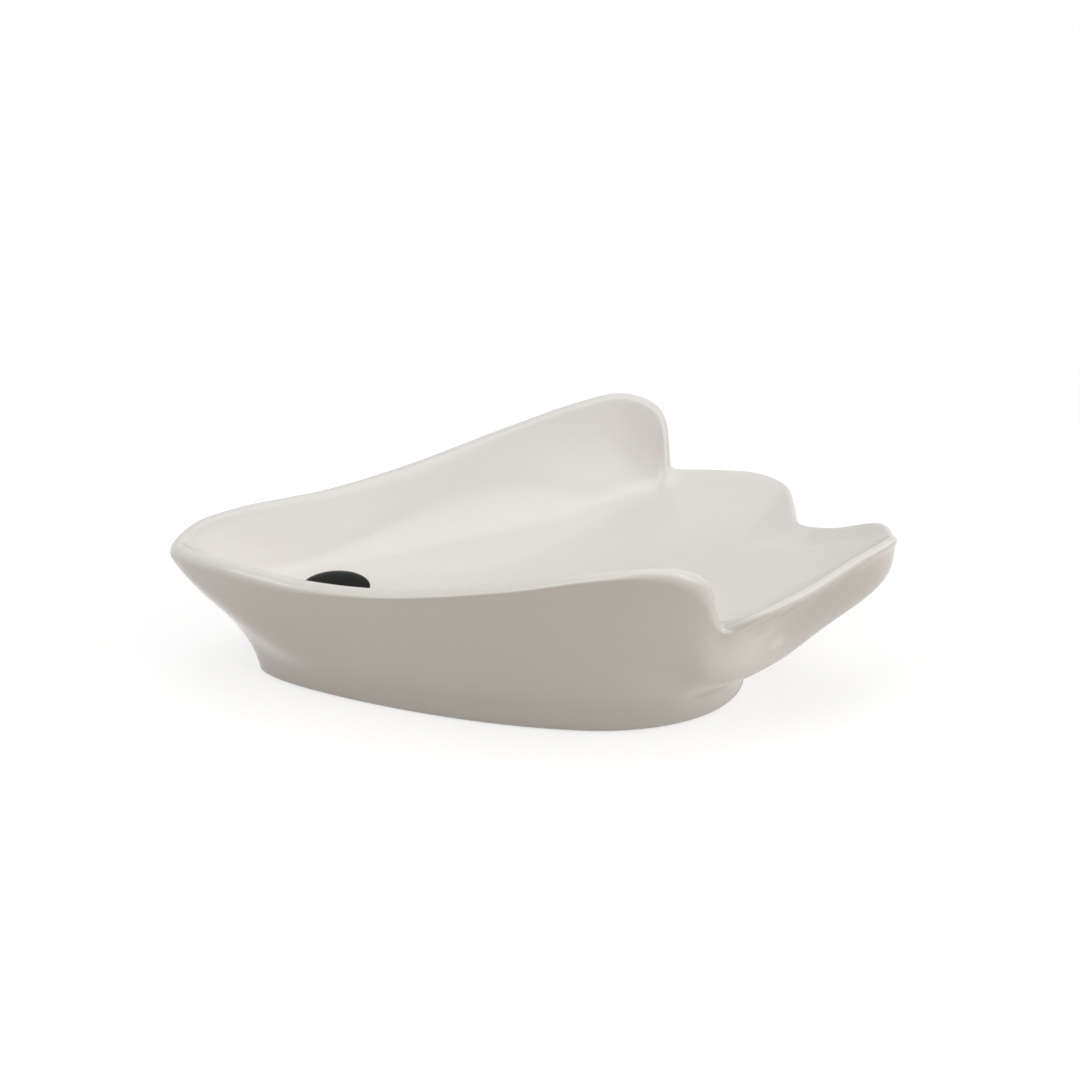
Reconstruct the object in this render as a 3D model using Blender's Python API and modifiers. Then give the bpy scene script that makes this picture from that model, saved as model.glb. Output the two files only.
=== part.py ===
"""A fish-shaped ceramic spoon rest: a glazed dish on a hollow foot, and a domed eye set in its floor.

The head points to -X and the tail to +X. The rim is a rounded edge that runs round the dish through a
row of stations. A spoke joins each rim point to a spine along the floor, and a section drawn on each
spoke gives the floor, wall, rim, hull, foot and recess. The dish is the loft of those sections.
"""

from typing import NamedTuple

import bmesh
import bpy
import numpy as np


class Station(NamedTuple):
    """One point on the middle of the rounded rim, with the shape of the section below it."""

    x: float
    y: float
    z: float
    edge: float  # radius of the rounded rim
    slope: float  # how far the inner wall reaches in from the rim
    lean: float  # how far the inner wall leans from upright at the rim, in degrees
    bulge: tuple[float, float, float]  # how far the hull stands out at each of HULL_LEVELS


# Main sizes of the rim, taken to its middle.
NOSE_X = -0.0805
NOSE_HEIGHT = 0.0320
FIN_HALF_SPAN = 0.0483
FIN_HEIGHT = 0.0499
TAIL_TIP_X = 0.0820
TAIL_TIP_HEIGHT = 0.0397
BODY_EDGE = 0.0022
FIN_END_EDGE = 0.0031
NOTCH_EDGE = 0.0023
TAIL_EDGE = 0.0011

# Rim of the head and flanks, from the nose to the fins. The other flank mirrors it.
FLANK = (
    Station(NOSE_X, 0.0000, NOSE_HEIGHT, BODY_EDGE, 0.0290, 52, (0.0008, 0.0001, -0.0006)),
    Station(-0.0771, 0.0072, 0.0334, BODY_EDGE, 0.0265, 52, (0.0008, -0.0002, -0.0010)),
    Station(-0.0675, 0.0142, 0.0341, BODY_EDGE, 0.0210, 51, (0.0034, 0.0034, 0.0010)),
    Station(-0.0587, 0.0189, 0.0343, BODY_EDGE, 0.0190, 50, (0.0022, 0.0046, 0.0042)),
    Station(-0.0488, 0.0237, 0.0346, BODY_EDGE, 0.0190, 50, (0.0004, 0.0016, 0.0028)),
    Station(-0.0298, 0.0325, 0.0369, BODY_EDGE, 0.0270, 48, (0.0000, 0.0003, 0.0008)),
    Station(-0.0030, 0.0426, 0.0434, BODY_EDGE, 0.0340, 41, (0.0000, 0.0002, 0.0006)),
    Station(0.0140, 0.0468, 0.0481, BODY_EDGE, 0.0270, 32, (0.0002, 0.0005, 0.0008)),
)
# Rim of the far fin, its end, the notch behind it, the blunt tail lobe and the fork.
FAR_TAIL = (
    Station(0.0247, FIN_HALF_SPAN, FIN_HEIGHT, BODY_EDGE, 0.0200, 25, (0.0006, 0.0010, 0.0010)),
    Station(0.0328, 0.0461, 0.0474, BODY_EDGE, 0.0150, 22, (0.0002, 0.0010, 0.0012)),
    Station(0.0342, 0.0424, 0.0404, BODY_EDGE, 0.0110, 28, (0.0004, 0.0010, 0.0012)),
    Station(0.0354, 0.0394, 0.0335, NOTCH_EDGE, 0.0110, 60, (0.0002, 0.0008, 0.0014)),
    Station(0.0470, 0.0372, 0.0347, TAIL_EDGE, 0.0120, 74, (-0.0012, 0.0002, 0.0024)),
    Station(0.0581, 0.0348, 0.0348, TAIL_EDGE, 0.0130, 78, (-0.0024, 0.0004, 0.0036)),
    Station(0.0638, 0.0280, 0.0347, TAIL_EDGE, 0.0140, 80, (-0.0024, 0.0008, 0.0040)),
    Station(0.0642, 0.0186, 0.0344, TAIL_EDGE, 0.0140, 80, (-0.0022, 0.0006, 0.0036)),
    Station(0.0642, 0.0072, 0.0341, TAIL_EDGE, 0.0140, 75, (-0.0020, 0.0006, 0.0032)),
    Station(0.0708, -0.0004, 0.0365, TAIL_EDGE, 0.0140, 66, (0.0004, 0.0038, 0.0038)),
    Station(0.0807, -0.0056, 0.0402, TAIL_EDGE, 0.0120, 58, (0.0056, 0.0070, 0.0040)),
)
# Rim of the near fin, its end, the notch behind it and the long tail lobe.
NEAR_TAIL = (
    Station(0.0274, -FIN_HALF_SPAN, FIN_HEIGHT, BODY_EDGE, 0.0200, 25, (0.0006, 0.0010, 0.0010)),
    Station(0.0349, -0.0445, 0.0454, FIN_END_EDGE, 0.0150, 22, (-0.0002, 0.0012, 0.0012)),
    Station(0.0374, -0.0392, 0.0378, FIN_END_EDGE, 0.0100, 25, (0.0014, 0.0030, 0.0022)),
    Station(0.0412, -0.0353, 0.0298, NOTCH_EDGE, 0.0080, 55, (0.0014, 0.0036, 0.0030)),
    Station(0.0480, -0.0358, 0.0334, TAIL_EDGE, 0.0070, 48, (-0.0004, 0.0030, 0.0040)),
    Station(0.0550, -0.0331, 0.0354, TAIL_EDGE, 0.0080, 50, (-0.0034, -0.0014, 0.0042)),
    Station(0.0632, -0.0278, 0.0372, TAIL_EDGE, 0.0090, 50, (-0.0038, -0.0014, 0.0050)),
    Station(0.0714, -0.0219, 0.0395, TAIL_EDGE, 0.0090, 50, (-0.0012, 0.0036, 0.0062)),
    Station(0.0810, -0.0148, 0.0413, TAIL_EDGE, 0.0090, 50, (0.0048, 0.0082, 0.0054)),
)
# Shallow dip between the two edges of the long tail lobe.
TAIL_TIP = Station(TAIL_TIP_X, -0.0102, TAIL_TIP_HEIGHT, TAIL_EDGE, 0.0100, 60, (0.0066, 0.0078, 0.0042))

# How far the two ends of the inner wall's curve are swept along the floor and down from the rim.
FLOOR_SWEEP = 0.66
RIM_SWEEP = 0.70
HULL_LEVELS = np.array([0.25, 0.50, 0.75])

# Floor: a shallow trough along the spine, lowest under the eye.
SPINE_HEAD_X = -0.0500
SPINE_TAIL_X = 0.0420
SPINE_EASE = 0.0100
SPINE_CLEARANCE = 0.0010
FLOOR_HEIGHT = 0.0218
FLOOR_EASE = 0.0650
FLOOR_CLIMB = 0.15
FLOOR_CROSS_RADIUS = 0.2000
FLOOR_THICKNESS = 0.0036
LOBE_START_X = 0.0600
LOBE_RADIUS = 0.0550

# Foot: an egg-shaped ring, narrow under the head.
FOOT_WIDEST_X = 0.0170
FOOT_HALF_WIDTH = 0.0283
FOOT_HEAD_LENGTH = 0.0816
FOOT_TAIL_LENGTH = 0.0350
FOOT_TAPER = 0.40
FOOT_TAPER_POWER = 1.5
FOOT_HEAD_ROUNDNESS = 0.5
FOOT_TAIL_ROUNDNESS = 0.4
FOOT_HEIGHT = 0.0076
FOOT_FLARE = 0.0028
FOOT_EDGE = 0.0008
FOOT_RING = 0.0034
RECESS_FILLET = 0.0030

# Eye: a turned button with a domed top, in a round socket.
EYE_X = -0.0451
EYE_RADIUS = 0.0083
EYE_RISE = 0.0016
SOCKET_DEPTH = 0.0014
CLEARANCE = 0.0003

# How finely the loft is divided.
STEPS_PER_STATION = 4
FLOOR_STEPS = 5
WALL_STEPS = 5
RIM_STEPS = 6
HULL_STEPS = 7
CEILING_STEPS = 4
EYE_TURN_STEPS = 48
EYE_DOME_STEPS = 6
REACH_STEPS = 40
WELD = 1e-6

CREAM_GLAZE = (0.74, 0.71, 0.66, 1.0)
CREAM_ROUGHNESS = 0.28
BLACK_GLAZE = (0.012, 0.013, 0.012, 1.0)
BLACK_ROUGHNESS = 0.15
UP = np.array([0.0, 0.0, 1.0])
WAVE_TURNS = np.pi * np.arange(1, len(HULL_LEVELS) + 1)
LEVEL_WAVES = np.linalg.inv(np.sin(np.outer(HULL_LEVELS, WAVE_TURNS)))


def smooth_loop(stations, steps):
    """Samples a closed centripetal Catmull-Rom curve that passes through every station."""
    knots = np.array([station[:-1] + station.bulge for station in stations])
    samples = []
    neighbours = [np.roll(knots, shift, axis=0) for shift in (1, 0, -1, -2)]
    for p0, p1, p2, p3 in zip(*neighbours):
        t0 = 0.0
        t1 = t0 + np.linalg.norm(p1[:3] - p0[:3]) ** 0.5
        t2 = t1 + np.linalg.norm(p2[:3] - p1[:3]) ** 0.5
        t3 = t2 + np.linalg.norm(p3[:3] - p2[:3]) ** 0.5
        for t in np.linspace(t1, t2, steps, endpoint=False):
            a1 = p0 + (p1 - p0) * (t - t0) / (t1 - t0)
            a2 = p1 + (p2 - p1) * (t - t1) / (t2 - t1)
            a3 = p2 + (p3 - p2) * (t - t2) / (t3 - t2)
            b1 = a1 + (a2 - a1) * (t - t0) / (t2 - t0)
            b2 = a2 + (a3 - a2) * (t - t1) / (t3 - t1)
            samples.append(b1 + (b2 - b1) * (t - t1) / (t2 - t1))
    return np.array(samples)


def mirrored(station):
    return station._replace(y=-station.y)


def bezier(p0, p1, p2, p3, steps):
    """Points of a cubic curve after p0, up to and including p3."""
    t = np.linspace(0, 1, steps + 1)[1:, None]
    return (1 - t) ** 3 * p0 + 3 * (1 - t) ** 2 * t * p1 + 3 * (1 - t) * t**2 * p2 + t**3 * p3


def floor_height(x, y):
    """Height of the floor: level under the eye, then a steady climb to the tail and up its long lobe."""
    climb = max(x - EYE_X, 0.0)
    if climb < FLOOR_EASE:
        rise = FLOOR_CLIMB * climb**2 / (2 * FLOOR_EASE)
    else:
        rise = FLOOR_CLIMB * (climb - FLOOR_EASE / 2)
    lobe = max(x - LOBE_START_X, 0.0)
    return FLOOR_HEIGHT + rise + lobe**2 / (2 * LOBE_RADIUS) + y**2 / (2 * FLOOR_CROSS_RADIUS)


def foot_half_width(x):
    """Half-width of the standing ring, which tapers to the head and is blunt at the tail."""
    if x < FOOT_WIDEST_X:
        share = min((FOOT_WIDEST_X - x) / FOOT_HEAD_LENGTH, 1.0)
        taper = 1 - FOOT_TAPER * share**FOOT_TAPER_POWER
        return FOOT_HALF_WIDTH * (1 - share**2) ** FOOT_HEAD_ROUNDNESS * taper
    share = min((x - FOOT_WIDEST_X) / FOOT_TAIL_LENGTH, 1.0)
    return FOOT_HALF_WIDTH * (1 - share**2) ** FOOT_TAIL_ROUNDNESS


def foot_reach(hub, direction):
    """Distance along a spoke from the spine to the edge of the standing ring."""
    inside, outside = 0.0, FOOT_HEAD_LENGTH + FOOT_TAIL_LENGTH
    for _ in range(REACH_STEPS):
        middle = (inside + outside) / 2
        point = hub + middle * direction
        if abs(point[1]) < foot_half_width(point[0]):
            inside = middle
        else:
            outside = middle
    return inside


def section(hub, rim, tangent):
    """Points of one section, from the spine over the rim and under the foot back to the spine."""
    edge = np.array(rim[:3])
    radius, slope, lean = rim[3:6]
    inner_lean = np.radians(lean)
    waves = LEVEL_WAVES @ rim[6:]
    spoke = edge * (1, 1, 0) - hub
    length = np.linalg.norm(spoke)
    out = spoke / length

    def at(reach, height):
        return hub + out * reach + UP * height

    def on_floor(reach):
        point = hub + out * reach
        return point + UP * floor_height(point[0], point[1])

    # Floor, from the spine to the bottom of the wall, which stays clear of the spine.
    wall_reach = min(slope, length - SPINE_CLEARANCE)
    floor_reach = length - wall_reach
    floor_points = [on_floor(floor_reach * k / FLOOR_STEPS) for k in range(FLOOR_STEPS + 1)]

    # Rim, a half round square to the way that the edge runs.
    across = out - tangent * np.dot(out, tangent)
    across /= np.linalg.norm(across)
    crest = np.cross(tangent, across)
    foot = foot_reach(hub, out)
    crease = at(foot + FOOT_FLARE, FOOT_HEIGHT)
    side = edge + across * radius
    down_hull = crease - side + out * (WAVE_TURNS @ waves)
    outer_lean = np.arctan2(-np.dot(down_hull, out), -down_hull[2])
    turns = np.linspace(np.pi - inner_lean, -outer_lean, RIM_STEPS + 1)
    rim_points = [edge + radius * (np.cos(a) * across + np.sin(a) * crest) for a in turns]

    # Inner wall, a curve that leaves the floor along its slope and meets the rim at its lean.
    wall_height = rim_points[0][2] - floor_points[-1][2]
    along_floor = on_floor(floor_reach + wall_reach * FLOOR_SWEEP) - floor_points[-1]
    down_wall = -UP * np.cos(inner_lean) - out * np.sin(inner_lean)
    wall_points = bezier(
        floor_points[-1],
        floor_points[-1] + along_floor,
        rim_points[0] + down_wall * wall_height * RIM_SWEEP,
        rim_points[0],
        WALL_STEPS,
    )

    # Hull, from the rim to the crease above the foot.
    fall = crease - rim_points[-1]
    level = np.linspace(0, 1, HULL_STEPS + 1)[1:, None]
    bulge = np.sin(level * WAVE_TURNS) @ waves[:, None]
    hull_points = rim_points[-1] + fall * level + out * bulge

    # Foot wall, standing ring and recess.
    ring_inner = foot - FOOT_RING
    ceiling_edge = on_floor(ring_inner)[2] - FLOOR_THICKNESS
    fillet_middle = RECESS_FILLET * (1 - np.sqrt(0.5))
    foot_points = [
        at(foot + FOOT_FLARE * FOOT_EDGE / FOOT_HEIGHT, FOOT_EDGE),
        at(foot - FOOT_EDGE, 0),
        at(ring_inner, 0),
        at(ring_inner, ceiling_edge - RECESS_FILLET),
        at(ring_inner - fillet_middle, ceiling_edge - fillet_middle),
    ]
    ceiling_reach = ring_inner - RECESS_FILLET
    ceiling_points = [
        on_floor(ceiling_reach * k / CEILING_STEPS) - UP * FLOOR_THICKNESS
        for k in range(CEILING_STEPS, -1, -1)
    ]
    return np.vstack([floor_points, wall_points, rim_points[1:], hull_points, foot_points, ceiling_points])


def dish_sections():
    """Sections all the way round: the far side from nose to tail, then the near side back."""
    near_flank = tuple(mirrored(station) for station in FLANK[1:])
    near_side = near_flank + NEAR_TAIL
    rim = smooth_loop(FLANK + FAR_TAIL + (TAIL_TIP,) + near_side[::-1], STEPS_PER_STATION)
    across = np.roll(rim[::-1], 1, axis=0)
    middle = (rim[:, 0] + across[:, 0]) / 2
    from_head = SPINE_HEAD_X + SPINE_EASE * np.logaddexp(0, (middle - SPINE_HEAD_X) / SPINE_EASE)
    hub_x = SPINE_TAIL_X - SPINE_EASE * np.logaddexp(0, (SPINE_TAIL_X - from_head) / SPINE_EASE)
    tangents = np.roll(rim, -1, axis=0)[:, :3] - np.roll(rim, 1, axis=0)[:, :3]
    tangents /= np.linalg.norm(tangents, axis=1)[:, None]
    hubs = [np.array([x, 0.0, 0.0]) for x in hub_x]
    return [section(hub, point, tangent) for hub, point, tangent in zip(hubs, rim, tangents)]


def glaze(name, colour, roughness):
    material = bpy.data.materials.new(name)
    material.use_nodes = True
    shader = material.node_tree.nodes["Principled BSDF"]
    shader.inputs["Base Color"].default_value = colour
    shader.inputs["Roughness"].default_value = roughness
    shader.inputs["Metallic"].default_value = 0.0
    return material


def make_dish(collection):
    """Lofts the sections into one closed body."""
    rings = dish_sections()
    form = bmesh.new()
    grid = [[form.verts.new(point) for point in ring] for ring in rings]
    for ring, following in zip(grid, grid[1:] + grid[:1]):
        for a, b, c, d in zip(ring, ring[1:], following[1:], following):
            form.faces.new((a, b, c, d))
    bmesh.ops.remove_doubles(form, verts=form.verts, dist=WELD)
    bmesh.ops.recalc_face_normals(form, faces=form.faces)
    mesh = bpy.data.meshes.new("dish")
    form.to_mesh(mesh)
    form.free()
    mesh.shade_smooth()
    dish = bpy.data.objects.new("dish", mesh)
    collection.objects.link(dish)
    return dish


def cut_socket(dish, collection):
    """Cuts the round socket for the eye into the floor."""
    bottom = floor_height(EYE_X, 0) - SOCKET_DEPTH
    height = EYE_RISE + SOCKET_DEPTH
    bpy.ops.mesh.primitive_cylinder_add(
        vertices=EYE_TURN_STEPS,
        radius=EYE_RADIUS + CLEARANCE,
        depth=height,
        location=(EYE_X, 0, bottom + height / 2),
    )
    cutter = bpy.context.active_object
    cutter.name = "eye_socket_cutter"
    for owner in cutter.users_collection:
        owner.objects.unlink(cutter)
    collection.objects.link(cutter)
    cutter.hide_render = True
    cutter.display_type = "WIRE"
    cut = dish.modifiers.new("eye_socket", "BOOLEAN")
    cut.operation = "DIFFERENCE"
    cut.solver = "EXACT"
    cut.object = cutter


def make_eye(collection):
    """Turns the eye: a domed top over a short straight side and a flat seat."""
    side = SOCKET_DEPTH - CLEARANCE
    angles = np.linspace(0, np.pi / 2, EYE_DOME_STEPS + 1)
    profile = [(EYE_RADIUS * np.sin(a), side + EYE_RISE * np.cos(a)) for a in angles]
    profile += [(EYE_RADIUS, 0.0), (0.0, 0.0)]
    mesh = bpy.data.meshes.new("eye")
    points = [(x, 0.0, z) for x, z in profile]
    mesh.from_pydata(points, [(k, k + 1) for k in range(len(points) - 1)], [])
    eye = bpy.data.objects.new("eye", mesh)
    eye.location = (EYE_X, 0, floor_height(EYE_X, 0) - side)
    collection.objects.link(eye)
    turn = eye.modifiers.new("turn", "SCREW")
    turn.steps = EYE_TURN_STEPS
    turn.render_steps = EYE_TURN_STEPS
    turn.use_merge_vertices = True
    turn.merge_threshold = WELD
    turn.use_smooth_shade = True
    return eye


def main():
    for leftover in list(bpy.data.objects):
        bpy.data.objects.remove(leftover)
    parts = bpy.data.collections.new("spoon_rest")
    cutters = bpy.data.collections.new("cutters")
    bpy.context.scene.collection.children.link(parts)
    bpy.context.scene.collection.children.link(cutters)

    dish = make_dish(parts)
    dish.data.materials.append(glaze("cream_glaze", CREAM_GLAZE, CREAM_ROUGHNESS))
    cut_socket(dish, cutters)
    eye = make_eye(parts)
    eye.data.materials.append(glaze("black_glaze", BLACK_GLAZE, BLACK_ROUGHNESS))


main()
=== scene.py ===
"""Looks for a fish-shaped ceramic spoon rest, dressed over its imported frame.

The dish is lofted again in the way of the solid part, in finer steps and with the forms that are a matter of
finish: chines under the head and the tail, rounded notches, a rounded crease above the foot, a flatter outer
half of the flank rims, and small moves of single stations. Both pieces get glazes made of nodes. Lengths are
in metres, with x from head to tail, y across the dish and z up.
"""

import math
from typing import NamedTuple

import bmesh
import bpy
import numpy as np
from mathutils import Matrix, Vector


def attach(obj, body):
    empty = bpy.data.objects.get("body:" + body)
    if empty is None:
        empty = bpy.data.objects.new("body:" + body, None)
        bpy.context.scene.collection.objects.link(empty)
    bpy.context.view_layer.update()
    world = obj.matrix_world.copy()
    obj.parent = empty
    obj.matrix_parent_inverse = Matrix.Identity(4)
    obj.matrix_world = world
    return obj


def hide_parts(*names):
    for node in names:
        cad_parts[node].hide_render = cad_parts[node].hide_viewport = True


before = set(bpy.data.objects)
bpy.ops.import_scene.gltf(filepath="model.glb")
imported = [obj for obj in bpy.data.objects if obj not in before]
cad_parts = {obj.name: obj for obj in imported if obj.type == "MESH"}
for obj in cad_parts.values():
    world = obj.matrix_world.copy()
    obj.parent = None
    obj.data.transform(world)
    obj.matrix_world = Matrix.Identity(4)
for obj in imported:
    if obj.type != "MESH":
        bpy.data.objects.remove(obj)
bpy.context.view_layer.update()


class Station(NamedTuple):
    """One point on the middle of the rounded rim, with the shape of the section below it."""

    x: float
    y: float
    z: float
    edge: float  # radius of the rounded rim
    slope: float  # how far the inner wall reaches in from the rim
    lean: float  # how far the inner wall leans from upright at the rim, in degrees
    bulge: tuple[float, float, float]  # how far the hull stands out at each of HULL_LEVELS


class Chine(NamedTuple):
    """A soft edge along the hull, drawn in side view."""

    start: tuple[float, float]
    end: tuple[float, float]
    rise: float  # how far the edge stands out
    fold: float  # how steeply the hull turns in beyond it


class Grain(NamedTuple):
    """A noise texture: its scale, its levels of detail and how much the finer levels count."""

    scale: float
    detail: float
    roughness: float


class Lamp(NamedTuple):
    """A softbox: degrees round from the front, degrees up from the floor, and watts."""

    name: str
    turn: float
    rise: float
    watts: float


# Main sizes of the rim, taken to its middle.
NOSE_X = -0.0805
NOSE_HEIGHT = 0.0320
FIN_HALF_SPAN = 0.0483
FIN_HEIGHT = 0.0499
TAIL_TIP_X = 0.0820
TAIL_TIP_HEIGHT = 0.0397
BODY_EDGE = 0.0022
FIN_END_EDGE = 0.0031
NOTCH_EDGE = 0.0023
TAIL_EDGE = 0.0011

# Rim of the head and flanks, from the nose to the fins. The other flank mirrors it.
FLANK = (
    Station(NOSE_X, 0.0000, NOSE_HEIGHT, BODY_EDGE, 0.0290, 52, (0.0008, 0.0001, -0.0006)),
    Station(-0.0771, 0.0072, 0.0334, BODY_EDGE, 0.0265, 52, (0.0008, -0.0002, -0.0010)),
    Station(-0.0675, 0.0142, 0.0341, BODY_EDGE, 0.0210, 51, (0.0014, 0.0012, 0.0004)),
    Station(-0.0587, 0.0189, 0.0340, BODY_EDGE, 0.0190, 50, (0.0006, 0.0014, 0.0012)),
    Station(-0.0488, 0.0237, 0.0341, BODY_EDGE, 0.0190, 50, (0.0000, 0.0004, 0.0008)),
    Station(-0.0298, 0.0325, 0.0366, BODY_EDGE, 0.0270, 48, (0.0000, 0.0003, 0.0008)),
    Station(-0.0030, 0.0426, 0.0434, BODY_EDGE, 0.0340, 41, (0.0000, 0.0002, 0.0006)),
    Station(0.0140, 0.0468, 0.0481, BODY_EDGE, 0.0270, 32, (0.0002, 0.0005, 0.0008)),
)
# Rim of the far fin, its end, the notch behind it, the blunt tail lobe and the fork.
FAR_TAIL = (
    Station(0.0247, FIN_HALF_SPAN, FIN_HEIGHT, BODY_EDGE, 0.0200, 25, (0.0006, 0.0010, 0.0010)),
    Station(0.0328, 0.0461, 0.0474, BODY_EDGE, 0.0150, 22, (0.0002, 0.0010, 0.0012)),
    Station(0.0342, 0.0424, 0.0404, BODY_EDGE, 0.0110, 28, (0.0004, 0.0010, 0.0012)),
    Station(0.0354, 0.0394, 0.0335, NOTCH_EDGE, 0.0110, 60, (0.0002, 0.0008, 0.0014)),
    Station(0.0470, 0.0372, 0.0347, TAIL_EDGE, 0.0120, 74, (-0.0012, 0.0002, 0.0024)),
    Station(0.0581, 0.0348, 0.0348, TAIL_EDGE, 0.0130, 78, (-0.0024, 0.0004, 0.0036)),
    Station(0.0638, 0.0280, 0.0347, TAIL_EDGE, 0.0140, 80, (-0.0024, 0.0008, 0.0040)),
    Station(0.0642, 0.0186, 0.0344, TAIL_EDGE, 0.0140, 80, (-0.0022, 0.0006, 0.0036)),
    Station(0.0642, 0.0072, 0.0341, TAIL_EDGE, 0.0140, 75, (-0.0020, 0.0006, 0.0032)),
    Station(0.0708, -0.0004, 0.0365, TAIL_EDGE, 0.0140, 66, (0.0004, 0.0038, 0.0038)),
    Station(0.0807, -0.0056, 0.0402, TAIL_EDGE, 0.0120, 58, (0.0053, 0.0066, 0.0038)),
)
# Rim of the near fin, its end, the notch behind it and the long tail lobe.
NEAR_TAIL = (
    Station(0.0274, -FIN_HALF_SPAN, FIN_HEIGHT, BODY_EDGE, 0.0200, 25, (0.0006, 0.0010, 0.0010)),
    Station(0.0349, -0.0445, 0.0454, FIN_END_EDGE, 0.0150, 22, (-0.0002, 0.0012, 0.0012)),
    Station(0.0368, -0.0394, 0.0380, FIN_END_EDGE, 0.0100, 25, (0.0014, 0.0030, 0.0022)),
    Station(0.0412, -0.0353, 0.0298, NOTCH_EDGE, 0.0080, 55, (0.0014, 0.0036, 0.0030)),
    Station(0.0480, -0.0358, 0.0334, TAIL_EDGE, 0.0070, 48, (-0.0004, 0.0030, 0.0040)),
    Station(0.0550, -0.0331, 0.0354, TAIL_EDGE, 0.0080, 50, (-0.0026, -0.0010, 0.0046)),
    Station(0.0632, -0.0278, 0.0372, TAIL_EDGE, 0.0090, 50, (-0.0030, -0.0004, 0.0058)),
    Station(0.0714, -0.0219, 0.0395, TAIL_EDGE, 0.0090, 50, (-0.0018, 0.0036, 0.0066)),
    Station(0.0810, -0.0148, 0.0413, TAIL_EDGE, 0.0090, 50, (0.0038, 0.0076, 0.0050)),
)
# Shallow dip between the two edges of the long tail lobe.
TAIL_TIP = Station(TAIL_TIP_X, -0.0102, TAIL_TIP_HEIGHT, TAIL_EDGE, 0.0100, 60, (0.0062, 0.0074, 0.0040))

# The outer half of the rounded rim is flatter on the flanks, where the hull climbs nearer to the crest.
RIM_TIGHTENING = 0.65
RIM_TIGHT_X = -0.0070
RIM_TIGHT_REACH = 0.0410
RIM_TIGHT_POWER = 4

# How long the inner wall keeps the course of the floor and of the rim: shares of its reach and its height.
FLOOR_SWEEP = 0.50
RIM_SWEEP = 0.55

# The spine of the floor, from which the sections run out to the rim. Its ends are eased.
SPINE_HEAD_X = -0.0500
SPINE_TAIL_X = 0.0420
SPINE_EASE = 0.0100

# The floor is level under the eye, climbs to the tail and up its long lobe, and curves up to the sides.
FLOOR_HEIGHT = 0.0218
FLOOR_EASE = 0.0650
FLOOR_CLIMB = 0.15
FLOOR_CROSS_RADIUS = 0.2000
FLOOR_THICKNESS = 0.0036
LOBE_START_X = 0.0600
LOBE_RADIUS = 0.0550

# The foot and its standing ring, with a hollow inside. The flare grows towards the two ends.
FOOT_WIDEST_X = 0.0170
FOOT_HALF_WIDTH = 0.0283
FOOT_HEAD_LENGTH = 0.0810
FOOT_TAIL_LENGTH = 0.0350
FOOT_TAPER = 0.40
FOOT_TAPER_POWER = 1.5
FOOT_HEAD_ROUNDNESS = 0.5
FOOT_TAIL_ROUNDNESS = 0.4
FOOT_HEIGHT = 0.0076
FOOT_FLARE = 0.0016
FOOT_END_FLARE = 0.0028
FOOT_EDGE = 0.0008
FOOT_RING = 0.0034
RECESS_FILLET = 0.0030
FOOT_SEARCH_STEPS = 40  # halvings that find the edge of the foot along a section

# The eye, a dome on a short side that sinks into the floor as far as the solid's socket lets it.
EYE_X = -0.0451
EYE_RADIUS = 0.0083
EYE_RISE = 0.0016
SOCKET_DEPTH = 0.0014
CLEARANCE = 0.0003
EYE_DOME_STEPS = 24
EYE_SIDES = 96

# Chines: edges where the hull folds in to the undersides of the head and the tail.
HEAD_CHINE = Chine((-0.0690, 0.0265), (-0.0500, 0.0095), 0.0008, 0.22)
TAIL_CHINE = Chine((0.0700, 0.0245), (0.0420, 0.0118), 0.0008, 0.40)
CHINE_EDGE = 0.0007
CHINE_FADE = 0.0180
CHINE_ONSET = 0.25  # share of the hull below the rim over which a chine sets in

# Rounding of the inner wall and the hull along the run of the rim. Its fades are in steps of a section.
SOFTENING_PASSES = 30
SOFTENING_FADE = 8
FLOOR_KEPT_STEPS = 8
# Extra rounding around the notches: of the hull below them, then of the inner wall and of the rim.
NOTCH_X = 0.0400
NOTCH_REACH = 0.0170
NOTCH_HULL_PASSES = 160
NOTCH_HULL_START = -6  # steps past the rim where it sets in
NOTCH_HULL_FULL = 4  # steps past the rim where it is full
NOTCH_WALL_PASSES = 40
NOTCH_WALL_FADE = 14  # steps short of the rim where it starts to fade
NOTCH_RIM_PASSES = 16
# Rounding of the crease above the foot: full on the flanks, least under the head and the tail.
FILLET_PASSES = 24
FILLET_REACH = 8
FILLET_EASE = 1.1
FILLET_LEAST = 0.35

# Steps between two rim stations, then along a section: out from the spine, over the rim and back below.
STEPS_PER_STATION = 12
FLOOR_STEPS = 22
WALL_STEPS = 18
RIM_STEPS = 14
HULL_STEPS = 30
FOOT_STEPS = 8
EDGE_STEPS = 5
RECESS_POINTS = 5
CEILING_STEPS = 12

# Places along a section, counted from the spine.
RIM_START = FLOOR_STEPS + WALL_STEPS
RIM_END = RIM_START + RIM_STEPS
CREASE = RIM_END + HULL_STEPS
FOOT_END = CREASE + FOOT_STEPS
RING_START = FOOT_END + EDGE_STEPS

# Points of the loft that meet on the spine are welded.
WELD_DISTANCE = 1e-6

# The bulge of the hull is a sum of three sine waves, which vanish at the rim and at the foot.
HULL_LEVELS = (0.25, 0.50, 0.75)
WAVE_TURNS = np.pi * np.arange(1, 4)
HULL_WAVES = np.sin(np.outer(WAVE_TURNS, HULL_LEVELS)) / 2
UP = np.array([0.0, 0.0, 1.0])

# Span of a coat, a noise or a mask.
UNIT = (0, 1)

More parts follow.
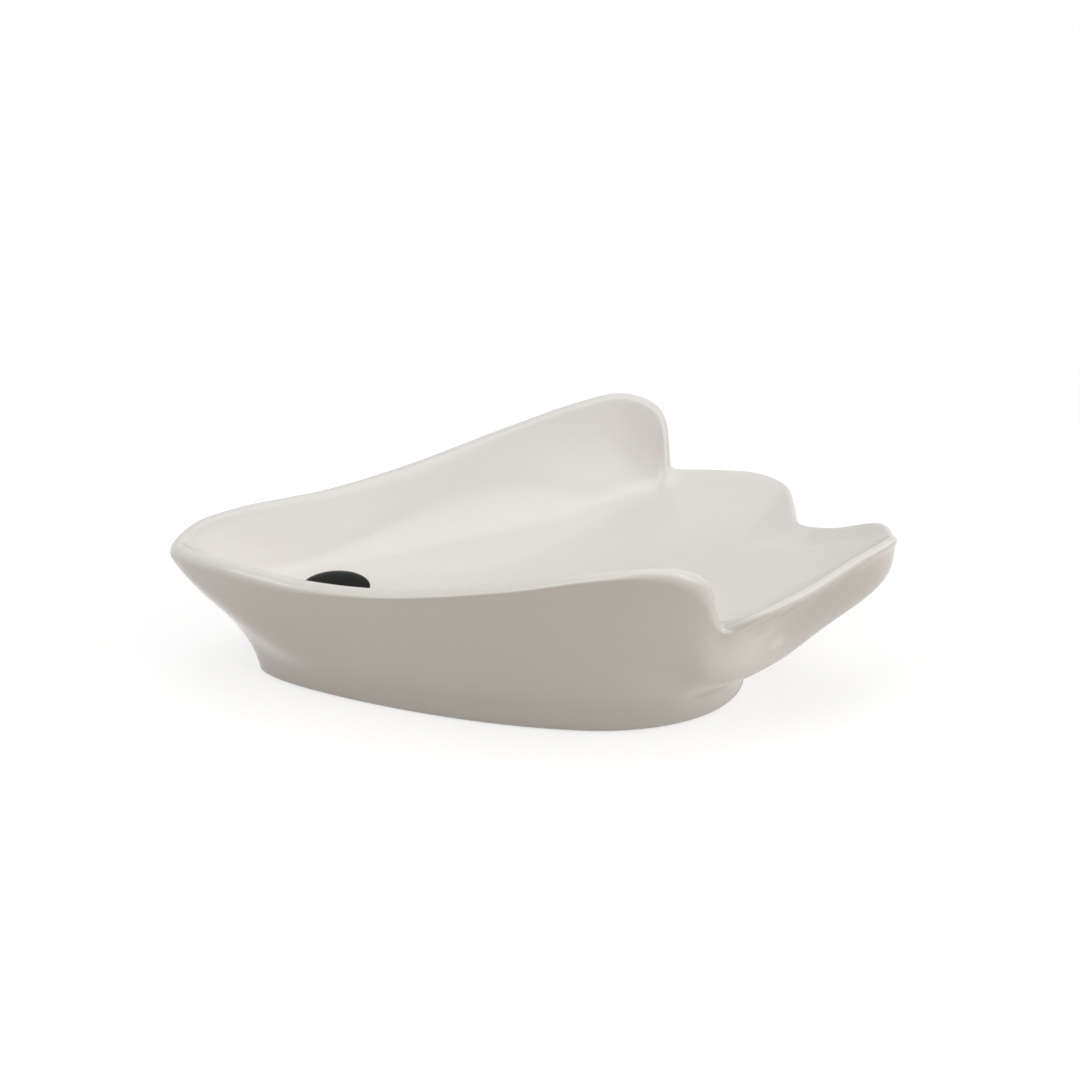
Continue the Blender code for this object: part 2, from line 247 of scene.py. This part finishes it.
# Cream glaze: thinner and lighter on the rim crest, partly thin glaze and partly a painted highlight; darker
# in the crease above the foot, partly pooled glaze and partly painted shade; bare under the standing ring.
CREAM_IOR = 1.5
CREAM_SPECULAR = 0.42
CREAM_ROUGHNESS = (0.15, 0.21)
CREAM_DARK = (0.715, 0.69, 0.645, 1)
CREAM_LIGHT = (0.755, 0.73, 0.685, 1)
CREAM_MOTTLE = Grain(28, 3, 0.55)
CREAM_SHEEN = Grain(60, 2, 0.5)
CREAM_RIPPLE = Grain(140, 2, 0.5)
RIPPLE_STRENGTH = 0.06
RIPPLE_HEIGHT = 0.0003
THIN_AND_HIGHLIGHT_COLOUR = (0.79, 0.765, 0.72, 1)
THIN_AND_HIGHLIGHT_SHARE = 0.3
THIN_AND_HIGHLIGHT_REACH = 0.45  # in widths of the rim
POOL_AND_SHADE_COLOUR = (0.68, 0.665, 0.62, 1)
POOL_AND_SHADE_SHARE = 0.5
POOL_AND_SHADE_DEPTH = 0.7
POOL_AND_SHADE_REACH = 3.0  # in steps of a section
BARE_COLOUR = (0.66, 0.60, 0.52, 1)
BARE_ROUGHNESS = 0.8
# Specks in the glaze: one small dot in each cell whose random value passes the limit.
SPECK_COLOUR = (0.32, 0.27, 0.21, 1)
SPECK_SHARE = 0.6
SPECK_CELLS = 95
SPECK_LIMIT = (0.955, 0.965)
SPECK_RADIUS = (0.020, 0.045)

# Black glaze of the eye.
BLACK_SPECULAR = 0.02
BLACK_ROUGHNESS = (0.12, 0.24)
BLACK_DARK = (0.008, 0.009, 0.008, 1)
BLACK_LIGHT = (0.014, 0.015, 0.014, 1)
BLACK_MOTTLE = Grain(220, 3, 0.5)

# Studio: a paper floor that fades to white away from the dish, a grey fill and softboxes round the dish.
WHITE = (1, 1, 1, 1)
PAPER_SIZE = 8
PAPER_DROP = 0.0002
PAPER_COLOUR = (0.72, 0.675, 0.62, 1)
SHOWN_PAPER_COLOUR = (0.45, 0.45, 0.45, 1)
SHOWN_PAPER_GLOW = 0.66
PAPER_FADE = (0.11, 0.30)
FILL_COLOUR = (0.10, 0.10, 0.10, 1)
LIT_POINT = Vector((0.0, 0.0, 0.03))
LAMP_DISTANCE = 0.8
LAMP_SIZE = 0.5
LAMPS = (
    Lamp("key", 300, 50, 2.6),
    Lamp("front", 45, 45, 0.95),
    Lamp("front_low", 75, 16, 1.85),
    Lamp("right", 90, 40, 1.0),
    Lamp("back", 180, 50, 0.45),
    Lamp("top", 0, 90, 1.6),
)

# Camera: the point it looks at, how far it looks down in degrees, and its lens and sensor in millimetres.
CAMERA_TARGET = Vector((0.00332, 0.0, 0.03443))
CAMERA_DISTANCE = 0.3486
CAMERA_PITCH = 26.5
CAMERA_LENS = 50
CAMERA_SENSOR = 36
CAMERA_CLIP_START = 0.005


def smooth_loop(stations, steps):
    """Samples a closed centripetal Catmull-Rom curve that passes through every station."""
    knots = np.array([station[:-1] + station.bulge for station in stations])
    samples = []
    neighbours = [np.roll(knots, shift, axis=0) for shift in (1, 0, -1, -2)]
    for p0, p1, p2, p3 in zip(*neighbours):
        t0 = 0.0
        t1 = t0 + np.linalg.norm(p1[:3] - p0[:3]) ** 0.5
        t2 = t1 + np.linalg.norm(p2[:3] - p1[:3]) ** 0.5
        t3 = t2 + np.linalg.norm(p3[:3] - p2[:3]) ** 0.5
        for t in np.linspace(t1, t2, steps, endpoint=False):
            a1 = p0 + (p1 - p0) * (t - t0) / (t1 - t0)
            a2 = p1 + (p2 - p1) * (t - t1) / (t2 - t1)
            a3 = p2 + (p3 - p2) * (t - t2) / (t3 - t2)
            b1 = a1 + (a2 - a1) * (t - t0) / (t2 - t0)
            b2 = a2 + (a3 - a2) * (t - t1) / (t3 - t1)
            samples.append(b1 + (b2 - b1) * (t - t1) / (t2 - t1))
    return np.array(samples)


def bezier(p0, p1, p2, p3, steps):
    """Points of a cubic curve after p0, up to and including p3."""
    t = np.linspace(0, 1, steps + 1)[1:, None]
    return (1 - t) ** 3 * p0 + 3 * (1 - t) ** 2 * t * p1 + 3 * (1 - t) * t**2 * p2 + t**3 * p3


def floor_height(x, y):
    """Height of the floor: level under the eye, then a steady climb to the tail and up its long lobe."""
    climb = max(x - EYE_X, 0.0)
    if climb < FLOOR_EASE:
        rise = FLOOR_CLIMB * climb**2 / (2 * FLOOR_EASE)
    else:
        rise = FLOOR_CLIMB * (climb - FLOOR_EASE / 2)
    lobe = max(x - LOBE_START_X, 0.0)
    return FLOOR_HEIGHT + rise + lobe**2 / (2 * LOBE_RADIUS) + y**2 / (2 * FLOOR_CROSS_RADIUS)


def foot_half_width(x):
    """Half-width of the standing ring, which tapers to the head and is blunt at the tail."""
    if x < FOOT_WIDEST_X:
        share = min((FOOT_WIDEST_X - x) / FOOT_HEAD_LENGTH, 1.0)
        taper = 1 - FOOT_TAPER * share**FOOT_TAPER_POWER
        return FOOT_HALF_WIDTH * (1 - share**2) ** FOOT_HEAD_ROUNDNESS * taper
    share = min((x - FOOT_WIDEST_X) / FOOT_TAIL_LENGTH, 1.0)
    return FOOT_HALF_WIDTH * (1 - share**2) ** FOOT_TAIL_ROUNDNESS


class Spoke:
    """A line in plan from a hub on the spine out to one point of the rim. A section stands on it."""

    def __init__(self, hub, edge):
        span = edge * (1, 1, 0) - hub
        self.hub = hub
        self.length = np.linalg.norm(span)
        self.out = span / self.length

    def at(self, reach, height):
        """Point so far out from the spine and so high above the table."""
        return self.hub + self.out * reach + UP * height

    def on_floor(self, reach):
        """Point on the floor of the dish, so far out from the spine."""
        point = self.hub + self.out * reach
        return point + UP * floor_height(point[0], point[1])

    def foot_reach(self):
        """Distance from the spine to the edge of the standing ring, found by halving."""
        inside, outside = 0.0, FOOT_HEAD_LENGTH + FOOT_TAIL_LENGTH
        for _ in range(FOOT_SEARCH_STEPS):
            middle = (inside + outside) / 2
            point = self.hub + middle * self.out
            if abs(point[1]) < foot_half_width(point[0]):
                inside = middle
            else:
                outside = middle
        return inside


def chine_swell(points, chine):
    """How far each point moves out: most along the chine, less on the flank, and in beyond the fold."""
    along = np.subtract(chine.end, chine.start)
    along /= np.linalg.norm(along)
    above = (points[:, [0, 2]] - chine.start) @ np.array([-along[1], along[0]]) * np.sign(along[0])
    flank = CHINE_EDGE * np.logaddexp(0, above / CHINE_EDGE)
    facet = CHINE_EDGE * np.logaddexp(0, -above / CHINE_EDGE)
    return ((chine.rise - chine.fold * facet) * np.exp(-flank / CHINE_FADE))[:, None]


def rim_arc(spoke, edge, radius, lean, tangent, crease, waves):
    """Points over the rounded rim, from the inner wall to where the arc runs smoothly into the hull."""
    across = spoke.out - tangent * np.dot(spoke.out, tangent)
    across /= np.linalg.norm(across)
    crest = np.cross(tangent, across)
    from_flank = (edge[0] - RIM_TIGHT_X) / RIM_TIGHT_REACH
    outer_height = 1 - RIM_TIGHTENING * np.exp(-(from_flank**RIM_TIGHT_POWER))
    side = edge + across * radius + crest * radius * (1 - outer_height)
    down_hull = crease - side + spoke.out * (WAVE_TURNS @ waves)
    hull_face = np.cross(tangent, down_hull)
    hull_turn = np.arctan2(np.dot(hull_face, crest) * outer_height, np.dot(hull_face, across))
    turns = np.linspace(np.pi - lean, hull_turn, RIM_STEPS + 1)[:, None]
    height = np.where(turns < np.pi / 2, outer_height, 1)
    return edge + radius * (np.cos(turns) * across + (1 - height + height * np.sin(turns)) * crest)


def inner_face(spoke, slope, lean, rim_start):
    """Points along the floor and up the inner wall, as far as the start of the rim."""
    floor_reach = spoke.length - slope
    floor_points = [spoke.on_floor(floor_reach * k / FLOOR_STEPS) for k in range(FLOOR_STEPS + 1)]
    wall_foot = floor_points[-1]
    wall_height = rim_start[2] - wall_foot[2]
    along_floor = spoke.on_floor(floor_reach + slope * FLOOR_SWEEP) - wall_foot
    down_wall = -UP * np.cos(lean) - spoke.out * np.sin(lean)
    wall_points = bezier(
        wall_foot,
        wall_foot + along_floor,
        rim_start + down_wall * wall_height * RIM_SWEEP,
        rim_start,
        WALL_STEPS,
    )
    return np.vstack([floor_points, wall_points])


def outer_face(spoke, rim_end, crease, foot_side, waves, chine):
    """Points down the hull and the side of the foot, with the chine and a rounded crease worked in."""
    level = np.linspace(0, 1, HULL_STEPS + 1)[1:, None]
    bulge = np.sin(level * WAVE_TURNS) @ waves[:, None]
    hull = rim_end + (crease - rim_end) * level + spoke.out * bulge
    foot_level = np.linspace(0, 1, FOOT_STEPS + 1)[1:, None]
    points = np.vstack([hull, crease + (foot_side - crease) * foot_level])
    share = np.vstack([np.clip(level / CHINE_ONSET, 0, 1), 1 - foot_level])
    points += spoke.out * chine_swell(points, chine) * share

    rounded = points.copy()
    crease_place = HULL_STEPS - 1
    span = slice(crease_place - FILLET_REACH + 1, crease_place + FILLET_REACH - 1)
    before = slice(span.start - 1, span.stop - 1)
    after = slice(span.start + 1, span.stop + 1)
    for _ in range(FILLET_PASSES):
        rounded[span] = (rounded[before] + 2 * rounded[span] + rounded[after]) / 4
    return points + (rounded - points) * np.clip(FILLET_EASE * abs(spoke.out[1]), FILLET_LEAST, 1)


def underside(spoke, foot):
    """Points round the edge of the foot, under its ring, up into the hollow and back to the spine."""
    turns = np.linspace(0, np.pi / 2, EDGE_STEPS + 1)[1:]
    quarter = [(1 - np.cos(turn), 1 - np.sin(turn)) for turn in turns]
    ring_inner = foot - FOOT_RING
    ceiling_edge = spoke.on_floor(ring_inner)[2] - FLOOR_THICKNESS
    wall_top = ceiling_edge - RECESS_FILLET
    wall_heights = np.linspace(FOOT_EDGE, wall_top, RECESS_POINTS)
    ceiling_reach = ring_inner - RECESS_FILLET
    lip = FOOT_EDGE / 2

    outer_edge = [spoke.at(foot - FOOT_EDGE * run, FOOT_EDGE * rise) for run, rise in quarter]
    inner_edge = [spoke.at(ring_inner + lip * rise, lip * run) for run, rise in quarter]
    recess_wall = [spoke.at(ring_inner, height) for height in wall_heights]
    fillet = [
        spoke.at(ring_inner - RECESS_FILLET * run, ceiling_edge - RECESS_FILLET * rise)
        for run, rise in quarter
    ]
    ceiling = [
        spoke.on_floor(ceiling_reach * k / CEILING_STEPS) - UP * FLOOR_THICKNESS
        for k in range(CEILING_STEPS, -1, -1)
    ]
    return np.vstack([outer_edge, inner_edge, recess_wall, fillet, ceiling])


def section(hub, rim, tangent):
    """Points of one section, from the spine over the rim, down the hull and back under the foot."""
    edge = rim[:3]
    radius, slope, lean = rim[3:6]
    lean = np.radians(lean)
    waves = HULL_WAVES @ rim[6:]
    spoke = Spoke(hub, edge)
    foot = spoke.foot_reach()
    flare = FOOT_FLARE + FOOT_END_FLARE * spoke.out[0] ** 2
    crease = spoke.at(foot + flare, FOOT_HEIGHT)
    foot_side = spoke.at(foot + flare * FOOT_EDGE / FOOT_HEIGHT, FOOT_EDGE)
    chine = HEAD_CHINE if edge[0] < 0 else TAIL_CHINE

    rim_points = rim_arc(spoke, edge, radius, lean, tangent, crease, waves)
    inner = inner_face(spoke, slope, lean, rim_points[0])
    outer = outer_face(spoke, rim_points[-1], crease, foot_side, waves, chine)
    return np.vstack([inner, rim_points[1:], outer, underside(spoke, foot)])


def dish_sections():
    """Sections all the way round: the far side from nose to tail, then the near side back."""
    near_flank = tuple(station._replace(y=-station.y) for station in FLANK[1:])
    near_side = near_flank + NEAR_TAIL
    rim = smooth_loop(FLANK + FAR_TAIL + (TAIL_TIP,) + near_side[::-1], STEPS_PER_STATION)
    opposite = np.roll(rim[::-1], 1, axis=0)
    middle = (rim[:, 0] + opposite[:, 0]) / 2
    from_head = SPINE_HEAD_X + SPINE_EASE * np.logaddexp(0, (middle - SPINE_HEAD_X) / SPINE_EASE)
    hub_x = SPINE_TAIL_X - SPINE_EASE * np.logaddexp(0, (SPINE_TAIL_X - from_head) / SPINE_EASE)
    tangents = np.roll(rim, -1, axis=0)[:, :3] - np.roll(rim, 1, axis=0)[:, :3]
    tangents /= np.linalg.norm(tangents, axis=1)[:, None]
    hubs = [np.array([x, 0.0, 0.0]) for x in hub_x]
    return np.array([section(hub, point, tangent) for hub, point, tangent in zip(hubs, rim, tangents)])


def soften(forms):
    """Rounds the inner wall and the hull along the run of the rim, and around the notches the rim too."""
    places = np.arange(forms.shape[1])

    def ramp(start, full, fading, end):
        """Share of the rounding at each place, which grows from start to full and fades to the end."""
        return np.interp(places, (start, full, fading, end), (0, 1, 1, 0))[:, None]

    wall = ramp(FLOOR_KEPT_STEPS, FLOOR_STEPS, RIM_START - SOFTENING_FADE, RIM_START)
    hull = ramp(RIM_END, RIM_END + SOFTENING_FADE, CREASE, FOOT_END)
    notch_hull = ramp(RIM_END + NOTCH_HULL_START, RIM_END + NOTCH_HULL_FULL, CREASE, FOOT_END)
    notch_wall = ramp(FLOOR_KEPT_STEPS, FLOOR_STEPS, RIM_START - NOTCH_WALL_FADE, RIM_START)
    notch_rim = ramp(FLOOR_STEPS, RIM_START, RIM_END, CREASE)
    notch = np.exp(-(((forms[:, RIM_END, 0] - NOTCH_X) / NOTCH_REACH) ** 2))[:, None, None]
    rounds = (
        (wall + hull, SOFTENING_PASSES),
        (notch * notch_hull, NOTCH_HULL_PASSES),
        (notch * notch_wall, NOTCH_WALL_PASSES),
        (notch * notch_rim, NOTCH_RIM_PASSES),
    )
    for strength, passes in rounds:
        for _ in range(passes):
            around = (np.roll(forms, 1, axis=0) + np.roll(forms, -1, axis=0)) / 2
            forms = forms + strength / 2 * (around - forms)
    return forms


def glaze_and_painted_light_coats(count):
    """Coats at each point of a section: where the glaze is thin on the rim crest, with a painted highlight,
    where it pools in the crease above the foot, with painted shade, and where it is bare.
    """
    places = np.arange(count)
    from_crest = (places - (RIM_START + RIM_END) / 2) / (RIM_STEPS * THIN_AND_HIGHLIGHT_REACH)
    from_crease = (places - CREASE) / POOL_AND_SHADE_REACH
    on_ring = (places >= RING_START - 1) & (places <= RING_START + EDGE_STEPS)
    # Lighter on the rim crest as a painted highlight, darker in the crease above the foot as painted shade.
    return {
        "thin_and_highlight": np.exp(-(from_crest**2)),
        "pool_and_shade": POOL_AND_SHADE_DEPTH * np.exp(-(from_crease**2)),
        "bare": on_ring.astype(float),
    }


def add_body(name, form):
    """Adds a finished form to the scene as a smooth closed body."""
    bmesh.ops.recalc_face_normals(form, faces=form.faces)
    mesh = bpy.data.meshes.new(name)
    form.to_mesh(mesh)
    form.free()
    mesh.shade_smooth()
    body = bpy.data.objects.new(name, mesh)
    bpy.context.scene.collection.objects.link(body)
    return body


def make_dish():
    """Lofts the sections into one closed body that carries its glaze coats, with the painted highlight and
    painted shade, as attributes.
    """
    forms = soften(dish_sections())
    coats = glaze_and_painted_light_coats(forms.shape[1])
    form = bmesh.new()
    layers = {name: form.verts.layers.float.new(name) for name in coats}
    grid = []
    for points in forms:
        ring = []
        for k, point in enumerate(points):
            vert = form.verts.new(point)
            for name, layer in layers.items():
                vert[layer] = coats[name][k]
            ring.append(vert)
        grid.append(ring)
    for ring, following in zip(grid, grid[1:] + grid[:1]):
        for a, b, c, d in zip(ring, ring[1:], following[1:], following):
            form.faces.new((a, b, c, d))
    bmesh.ops.remove_doubles(form, verts=form.verts, dist=WELD_DISTANCE)
    return add_body("glazed_dish", form)


def make_eye():
    """Turns the eye: a domed top, a short side and a flat seat."""
    side = SOCKET_DEPTH - CLEARANCE
    base = floor_height(EYE_X, 0) - side
    angles = np.linspace(0, np.pi / 2, EYE_DOME_STEPS + 1)
    profile = [(EYE_RADIUS * np.sin(a), base + side + EYE_RISE * np.cos(a)) for a in angles]
    profile += [(EYE_RADIUS, base)]
    form = bmesh.new()
    top = form.verts.new((EYE_X, 0, profile[0][1]))
    bottom = form.verts.new((EYE_X, 0, base))
    turns = [2 * math.pi * k / EYE_SIDES for k in range(EYE_SIDES)]
    rings = [
        [form.verts.new((EYE_X + r * math.cos(t), r * math.sin(t), z)) for t in turns]
        for r, z in profile[1:]
    ]
    for k in range(EYE_SIDES):
        n = (k + 1) % EYE_SIDES
        form.faces.new((top, rings[0][k], rings[0][n]))
        for upper, lower in zip(rings, rings[1:]):
            form.faces.new((upper[k], lower[k], lower[n], upper[n]))
        form.faces.new((bottom, rings[-1][n], rings[-1][k]))
    return add_body("glazed_eye", form)


def add_node(tree, kind, inputs=None, **settings):
    """Adds a node. Each input is either a socket to link to or a value to set."""
    node = tree.nodes.new(kind)
    for name, value in settings.items():
        setattr(node, name, value)
    for key, value in (inputs or {}).items():
        if isinstance(value, bpy.types.NodeSocket):
            tree.links.new(value, node.inputs[key])
        else:
            node.inputs[key].default_value = value
    return node


def object_place(tree):
    """Place on the object, for textures that stay with it."""
    return add_node(tree, "ShaderNodeTexCoord").outputs["Object"]


def noise(tree, place, grain):
    """Values of a noise texture."""
    inputs = {"Vector": place, "Scale": grain.scale, "Detail": grain.detail, "Roughness": grain.roughness}
    return add_node(tree, "ShaderNodeTexNoise", inputs).outputs["Fac"]


def remap(tree, value, span, target, **settings):
    """Carries the values of one span over to another."""
    low, high = span
    to_low, to_high = target
    inputs = {"Value": value, "From Min": low, "From Max": high, "To Min": to_low, "To Max": to_high}
    return add_node(tree, "ShaderNodeMapRange", inputs, **settings).outputs["Result"]


def attribute(tree, name):
    """Values of one coat: the thin glaze with its painted highlight, the pooled glaze with its painted
    shade, or the bare ring.
    """
    return add_node(tree, "ShaderNodeAttribute", attribute_name=name).outputs["Fac"]


def mix_colours(tree, factor, first, second):
    """Blends two colours. The sockets of a Mix node share their names, so they are picked by number."""
    node = add_node(tree, "ShaderNodeMix", {0: factor, 6: first, 7: second}, data_type="RGBA")
    return node.outputs[2]


def mix_values(tree, factor, first, second):
    """Blends two numbers, again with the sockets picked by number."""
    node = add_node(tree, "ShaderNodeMix", {0: factor, 2: first, 3: second})
    return node.outputs[0]


def mix_shaders(tree, factor, first, second):
    """Blends the outputs of two shader nodes."""
    inputs = {0: factor, 1: first.outputs[0], 2: second.outputs[0]}
    return add_node(tree, "ShaderNodeMixShader", inputs)


def speck_mask(tree, place):
    """One inside the few small specks of the glaze, zero elsewhere."""
    cells = add_node(tree, "ShaderNodeTexVoronoi", {"Vector": place, "Scale": SPECK_CELLS})
    random = add_node(tree, "ShaderNodeSeparateColor", {"Color": cells.outputs["Color"]})
    chosen = remap(tree, random.outputs["Red"], SPECK_LIMIT, UNIT)
    dot = remap(tree, cells.outputs["Distance"], SPECK_RADIUS, UNIT[::-1])
    return add_node(tree, "ShaderNodeMath", {0: chosen, 1: dot}, operation="MULTIPLY").outputs["Value"]


def cream_glaze():
    """Glossy cream glaze, faintly mottled and rippled, with a few specks, a painted highlight on the rim
    crest and painted shade in the crease above the foot.
    """
    material = bpy.data.materials.new("cream_glaze")
    material.use_nodes = True
    tree = material.node_tree
    shader = tree.nodes["Principled BSDF"]
    shader.inputs["IOR"].default_value = CREAM_IOR
    shader.inputs["Specular IOR Level"].default_value = CREAM_SPECULAR
    place = object_place(tree)
    bare = attribute(tree, "bare")

    # The thin coat paints a highlight on the rim crest; the pooled coat paints shade in the crease above the
    # foot.
    thin_and_highlight = remap(tree, attribute(tree, "thin_and_highlight"), UNIT, (0, THIN_AND_HIGHLIGHT_SHARE))
    pool_and_shade = remap(tree, attribute(tree, "pool_and_shade"), UNIT, (0, POOL_AND_SHADE_SHARE))
    speck = remap(tree, speck_mask(tree, place), UNIT, (0, SPECK_SHARE))
    colour = mix_colours(tree, noise(tree, place, CREAM_MOTTLE), CREAM_DARK, CREAM_LIGHT)
    coats = ((thin_and_highlight, THIN_AND_HIGHLIGHT_COLOUR), (pool_and_shade, POOL_AND_SHADE_COLOUR), (speck, SPECK_COLOUR), (bare, BARE_COLOUR))
    for share, coat_colour in coats:
        colour = mix_colours(tree, share, colour, coat_colour)
    tree.links.new(colour, shader.inputs["Base Color"])

    glazed = remap(tree, noise(tree, place, CREAM_SHEEN), UNIT, CREAM_ROUGHNESS)
    tree.links.new(mix_values(tree, bare, glazed, BARE_ROUGHNESS), shader.inputs["Roughness"])

    ripple = {
        "Strength": RIPPLE_STRENGTH,
        "Distance": RIPPLE_HEIGHT,
        "Height": noise(tree, place, CREAM_RIPPLE),
    }
    bump = add_node(tree, "ShaderNodeBump", ripple)
    tree.links.new(bump.outputs["Normal"], shader.inputs["Normal"])
    return material


def black_glaze():
    """Black glaze with little shine."""
    material = bpy.data.materials.new("black_glaze")
    material.use_nodes = True
    tree = material.node_tree
    shader = tree.nodes["Principled BSDF"]
    shader.inputs["Specular IOR Level"].default_value = BLACK_SPECULAR
    mottle = noise(tree, object_place(tree), BLACK_MOTTLE)
    tree.links.new(mix_colours(tree, mottle, BLACK_DARK, BLACK_LIGHT), shader.inputs["Base Color"])
    tree.links.new(remap(tree, mottle, UNIT, BLACK_ROUGHNESS), shader.inputs["Roughness"])
    return material


def background_rays(tree):
    """One for the rays that show the background: from the camera, off a shiny surface or through glass."""
    path = add_node(tree, "ShaderNodeLightPath")
    shown = path.outputs["Is Camera Ray"]
    for kind in ("Is Glossy Ray", "Is Transmission Ray"):
        either = add_node(tree, "ShaderNodeMath", {0: shown, 1: path.outputs[kind]}, operation="MAXIMUM")
        shown = either.outputs["Value"]
    return shown


def make_floor():
    """Lays the paper floor, which shows a soft shadow near the dish and plain white further off."""
    bpy.ops.mesh.primitive_plane_add(size=PAPER_SIZE, location=(0, 0, -PAPER_DROP))
    floor = bpy.context.active_object
    floor.name = "floor"
    material = bpy.data.materials.new("paper")
    material.use_nodes = True
    tree = material.node_tree
    tree.nodes.clear()

    paper = add_node(tree, "ShaderNodeBsdfDiffuse", {"Color": PAPER_COLOUR})
    shown_paper = add_node(tree, "ShaderNodeBsdfDiffuse", {"Color": SHOWN_PAPER_COLOUR})
    glow = add_node(tree, "ShaderNodeEmission", {"Color": WHITE, "Strength": SHOWN_PAPER_GLOW})
    near = add_node(tree, "ShaderNodeAddShader", {0: shown_paper.outputs[0], 1: glow.outputs[0]})
    blank = add_node(tree, "ShaderNodeEmission", {"Color": WHITE, "Strength": 1.0})
    radius = add_node(tree, "ShaderNodeVectorMath", {0: object_place(tree)}, operation="LENGTH")
    far = remap(tree, radius.outputs["Value"], PAPER_FADE, UNIT, interpolation_type="SMOOTHSTEP")
    shown = mix_shaders(tree, far, near, blank)
    surface = mix_shaders(tree, background_rays(tree), paper, shown)
    add_node(tree, "ShaderNodeOutputMaterial", {"Surface": surface.outputs[0]})
    floor.data.materials.append(material)


def make_world():
    """Sets a grey fill for the light and white for the background."""
    world = bpy.data.worlds.new("studio")
    bpy.context.scene.world = world
    world.use_nodes = True
    tree = world.node_tree
    tree.nodes.clear()
    fill = add_node(tree, "ShaderNodeBackground", {"Color": FILL_COLOUR, "Strength": 1.0})
    white = add_node(tree, "ShaderNodeBackground", {"Color": WHITE, "Strength": 1.0})
    surface = mix_shaders(tree, background_rays(tree), fill, white)
    add_node(tree, "ShaderNodeOutputWorld", {"Surface": surface.outputs[0]})


def add_softbox(name, turn, rise, watts):
    """Adds a softbox aimed at the dish, so many degrees round from the front and up from the floor."""
    lamp = bpy.data.lights.new(name, "AREA")
    lamp.shape = "SQUARE"
    lamp.size = LAMP_SIZE
    lamp.energy = watts
    across, up = math.radians(turn), math.radians(rise)
    away = Vector((math.sin(across) * math.cos(up), -math.cos(across) * math.cos(up), math.sin(up)))
    holder = bpy.data.objects.new(name, lamp)
    holder.location = LIT_POINT + away * LAMP_DISTANCE
    holder.rotation_euler = (-away).to_track_quat("-Z", "Y").to_euler()
    bpy.context.scene.collection.objects.link(holder)


def make_camera():
    """Sets the camera at the photograph's viewing angle."""
    pitch = math.radians(CAMERA_PITCH)
    forward = Vector((0, math.cos(pitch), -math.sin(pitch)))
    lens = bpy.data.cameras.new("camera")
    lens.sensor_width = CAMERA_SENSOR
    lens.lens = CAMERA_LENS
    lens.clip_start = CAMERA_CLIP_START
    camera = bpy.data.objects.new("camera", lens)
    camera.location = CAMERA_TARGET - forward * CAMERA_DISTANCE
    camera.rotation_euler = forward.to_track_quat("-Z", "Y").to_euler()
    bpy.context.scene.collection.objects.link(camera)
    bpy.context.scene.camera = camera


dish = make_dish()
dish.data.materials.append(cream_glaze())
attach(dish, "root")
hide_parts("dish")

eye = make_eye()
eye.data.materials.append(black_glaze())
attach(eye, "root")
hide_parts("eye")

make_floor()
make_world()
for lamp in LAMPS:
    add_softbox(*lamp)
make_camera()
bpy.context.scene.view_settings.view_transform = "Standard"
